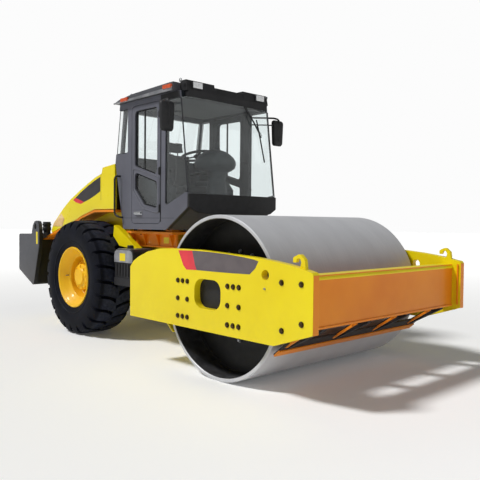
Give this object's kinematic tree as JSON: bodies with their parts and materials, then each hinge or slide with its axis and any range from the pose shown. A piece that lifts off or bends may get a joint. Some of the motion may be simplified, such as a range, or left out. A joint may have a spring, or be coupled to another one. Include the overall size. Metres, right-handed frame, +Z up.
{
  "type": "road roller",
  "caption": "Articulated single-drum soil roller with a smooth steel drum in a front frame, rubber-tyred rear wheels, a closed cab over the joint and a sloping engine hood.",
  "frame": {"origin": "centre of the footprint on the ground", "axes": "+X forward, towards the drum; +Y the machine's left; +Z up"},
  "size_m": [6.14, 2.38, 2.985],
  "materials": {
    "black_metal": "satin",
    "chrome": "polished",
    "dark": "matte",
    "fabric": "woven",
    "glass": "clear",
    "grey": "satin",
    "iron": "painted",
    "orange": "gloss",
    "rubber": "matte",
    "steel": "worn",
    "yellow": "gloss"
  },
  "bodies": {
    "chassis": {"cab_floor": "grey", "cab_front_panel": "black_metal", "cab_platform": "orange", "cab_rear_wall": "grey", "cab_roof": "dark", "cab_side_left": "grey", "cab_side_right": "grey", "counterweight": "grey", "engine": "iron", "fender_left": "yellow", "fender_right": "yellow", "front_quarter_glass_left": "glass", "front_quarter_glass_right": "glass", "handrail_left": "black_metal", "handrail_right": "black_metal", "mirror_left": "dark", "mirror_right": "dark", "radiator": "black_metal", "rear_axle": "yellow", "rear_frame": "yellow", "rear_glass": "glass", "roof_visor": "dark", "seat": "fabric", "steering_console": "dark", "steering_wheel": "dark", "tank_left": "grey", "tank_right": "grey", "windscreen": "glass"},
    "front_frame": {"side_plate_right": "yellow", "side_plate_left": "yellow", "front_beam": "orange", "rear_beam": "yellow", "drum_mount_right": "black_metal", "drum_mount_left": "black_metal", "front_scraper": "orange", "rear_scraper": "yellow"},
    "drum": {"drum": "steel"},
    "yoke": {"centre_joint": "yellow"},
    "wheel_right": {"rim_right": "orange", "tyre_right": "rubber"},
    "wheel_left": {"rim_left": "orange", "tyre_left": "rubber"},
    "hood": {"hood": "yellow"},
    "door_right": {"door_right": "grey", "door_upper_glass_right": "glass"},
    "door_left": {"door_left": "grey", "door_upper_glass_left": "glass"},
    "barrel_right": {"steer_barrel_right": "iron"},
    "barrel_left": {"steer_barrel_left": "iron"},
    "rod_right": {"steer_rod_right": "chrome"},
    "rod_left": {"steer_rod_left": "chrome"}
  },
  "joints": [
    {"name": "steer", "type": "hinge", "parent": "chassis", "child": "yoke", "pos_m": [0.36, 0, 0.8], "axis": [0, 0, 1], "range_deg": [-33, 33]},
    {"name": "front_swing", "type": "hinge", "parent": "yoke", "child": "front_frame", "pos_m": [0.62, 0, 0.77], "axis": [1, 0, 0], "range_deg": [-8, 8]},
    {"name": "drum_spin", "type": "hinge", "parent": "front_frame", "child": "drum", "pos_m": [1.84, 0, 0.76], "axis": [0, 1, 0], "continuous": true},
    {"name": "wheel_right_spin", "type": "hinge", "parent": "chassis", "child": "wheel_right", "pos_m": [-1.12, -0.7, 0.73], "axis": [0, 1, 0], "continuous": true},
    {"name": "wheel_left_spin", "type": "hinge", "parent": "chassis", "child": "wheel_left", "pos_m": [-1.12, 0.7, 0.73], "axis": [0, 1, 0], "continuous": true},
    {"name": "hood_open", "type": "hinge", "parent": "chassis", "child": "hood", "pos_m": [-0.6, 0, 2.115], "axis": [0, 1, 0], "range_deg": [0, 50]},
    {"name": "door_right_open", "type": "hinge", "parent": "chassis", "child": "door_right", "pos_m": [0.405, -0.678, 2], "axis": [0, 0, 1], "range_deg": [0, 75]},
    {"name": "door_left_open", "type": "hinge", "parent": "chassis", "child": "door_left", "pos_m": [0.405, 0.678, 2], "axis": [0, 0, -1], "range_deg": [0, 75]},
    {"name": "cylinder_right_swing", "type": "hinge", "parent": "chassis", "child": "barrel_right", "pos_m": [-0.17, -0.24, 0.8], "axis": [0, 0, 1], "range_deg": [-2, 2]},
    {"name": "cylinder_left_swing", "type": "hinge", "parent": "chassis", "child": "barrel_left", "pos_m": [-0.17, 0.24, 0.8], "axis": [0, 0, 1], "range_deg": [-2, 2]},
    {"name": "rod_right_slide", "type": "slide", "parent": "barrel_right", "child": "rod_right", "axis": [0.9906, 0.1366, 0], "range_m": [-0.095, 0.095]},
    {"name": "rod_left_slide", "type": "slide", "parent": "barrel_left", "child": "rod_left", "axis": [0.9906, -0.1366, 0], "range_m": [-0.095, 0.095]}
  ],
  "couplings": [
    {"joint": "cylinder_right_swing", "follows": "steer", "ratio": 0.033},
    {"joint": "cylinder_left_swing", "follows": "steer", "ratio": 0.033},
    {"joint": "rod_right_slide", "follows": "steer", "m_per_rad": 0.158},
    {"joint": "rod_left_slide", "follows": "steer", "m_per_rad": -0.158}
  ]
}
